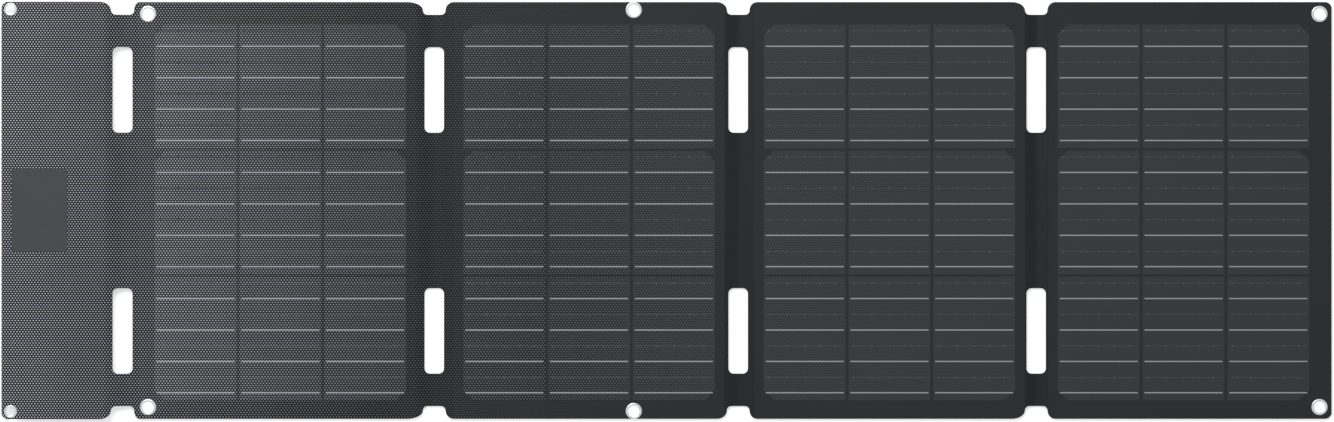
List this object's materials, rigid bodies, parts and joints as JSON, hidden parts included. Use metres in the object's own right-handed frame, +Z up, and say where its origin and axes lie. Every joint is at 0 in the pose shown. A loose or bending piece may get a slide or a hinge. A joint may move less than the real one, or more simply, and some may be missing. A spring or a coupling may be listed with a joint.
{
  "type": "folding solar blanket",
  "caption": "Flexible blanket of stiff solar panels that fold over each other as a roll, with lashing slots, eyelets and a controller flap.",
  "frame": {"origin": "on the surface that the blanket lies on, under the middle of its length and width", "axes": "+X along the length from the flap to the last panel, +Y across the width, +Z up, away from the cells' backs"},
  "size_m": [0.96, 0.3012, 0.0114],
  "materials": {
    "embossed_film": "clear embossed film over black, satin",
    "back_fabric": "coated woven polyester, matt",
    "stiffener_board": "glass-fibre laminate",
    "solar_cell": "dark silicon",
    "tinned_copper": "tinned",
    "eyelet_metal": "nickel plated",
    "patch_rubber": "smooth matt",
    "housing_plastic": "fine moulded grain",
    "circuit_laminate": "solder mask",
    "chip_plastic": "moulded",
    "inductor_ferrite": "sintered",
    "socket_steel": "plated",
    "screw_steel": "plated",
    "cover_rubber": "moulded"
  },
  "bodies": {
    "panel_1": {"first_eyelet_bottom": "eyelet_metal", "first_eyelet_top": "eyelet_metal", "panel_1_board": "stiffener_board", "panel_1_cells_bottom": "solar_cell", "panel_1_cells_middle": "solar_cell", "panel_1_cells_top": "solar_cell", "panel_1_fabric": "back_fabric", "panel_1_film": "embossed_film"},
    "flap": {"controller_board": "circuit_laminate", "controller_housing": "housing_plastic", "controller_lid": "housing_plastic", "converter_chip": "chip_plastic", "flap_board": "stiffener_board", "flap_eyelet_bottom": "eyelet_metal", "flap_eyelet_top": "eyelet_metal", "flap_fabric": "back_fabric", "flap_film": "embossed_film", "flap_fold_fabric": "back_fabric", "flap_fold_film": "embossed_film", "flap_fold_ribbon": "tinned_copper", "flap_patch": "patch_rubber", "housing_screw_1": "screw_steel", "housing_screw_2": "screw_steel", "housing_screw_3": "screw_steel", "housing_screw_4": "screw_steel", "power_inductor": "inductor_ferrite", "usb_a_socket": "socket_steel", "usb_c_socket": "socket_steel"},
    "panel_2": {"fold_1_2_fabric": "back_fabric", "fold_1_2_film": "embossed_film", "fold_1_2_ribbon": "tinned_copper", "middle_eyelet_bottom": "eyelet_metal", "middle_eyelet_top": "eyelet_metal", "panel_2_board": "stiffener_board", "panel_2_cells_bottom": "solar_cell", "panel_2_cells_middle": "solar_cell", "panel_2_cells_top": "solar_cell", "panel_2_fabric": "back_fabric", "panel_2_film": "embossed_film"},
    "panel_3": {"fold_2_3_fabric": "back_fabric", "fold_2_3_film": "embossed_film", "fold_2_3_ribbon": "tinned_copper", "panel_3_board": "stiffener_board", "panel_3_cells_bottom": "solar_cell", "panel_3_cells_middle": "solar_cell", "panel_3_cells_top": "solar_cell", "panel_3_fabric": "back_fabric", "panel_3_film": "embossed_film"},
    "panel_4": {"fold_3_4_fabric": "back_fabric", "fold_3_4_film": "embossed_film", "fold_3_4_ribbon": "tinned_copper", "last_eyelet_bottom": "eyelet_metal", "last_eyelet_top": "eyelet_metal", "panel_4_board": "stiffener_board", "panel_4_cells_bottom": "solar_cell", "panel_4_cells_middle": "solar_cell", "panel_4_cells_top": "solar_cell", "panel_4_fabric": "back_fabric", "panel_4_film": "embossed_film"},
    "port_cover": {"port_cover": "cover_rubber"}
  },
  "joints": [
    {"name": "flap_fold", "type": "hinge", "parent": "panel_1", "child": "flap", "pos_m": [-0.3929, 0, 0.01748], "axis": [0, 1, 0], "range_deg": [0, 179.9], "deforming": ["flap_fold_fabric", "flap_fold_film", "flap_fold_ribbon"]},
    {"name": "fold_1_2", "type": "hinge", "parent": "panel_1", "child": "panel_2", "pos_m": [-0.1681, 0, 0.0106], "axis": [0, -1, 0], "range_deg": [0, 179.9], "deforming": ["fold_1_2_fabric", "fold_1_2_film", "fold_1_2_ribbon"]},
    {"name": "fold_2_3", "type": "hinge", "parent": "panel_2", "child": "panel_3", "pos_m": [0.0514, 0, 0.0076], "axis": [0, -1, 0], "range_deg": [0, 179.9], "deforming": ["fold_2_3_fabric", "fold_2_3_film", "fold_2_3_ribbon"]},
    {"name": "fold_3_4", "type": "hinge", "parent": "panel_3", "child": "panel_4", "pos_m": [0.2666, 0, 0.0046], "axis": [0, -1, 0], "range_deg": [0, 179.9], "deforming": ["fold_3_4_fabric", "fold_3_4_film", "fold_3_4_ribbon"]},
    {"name": "port_cover_hinge", "type": "hinge", "parent": "flap", "child": "port_cover", "pos_m": [-0.47485, 0, 0.001], "axis": [0, -1, 0], "range_deg": [0, 90]}
  ]
}
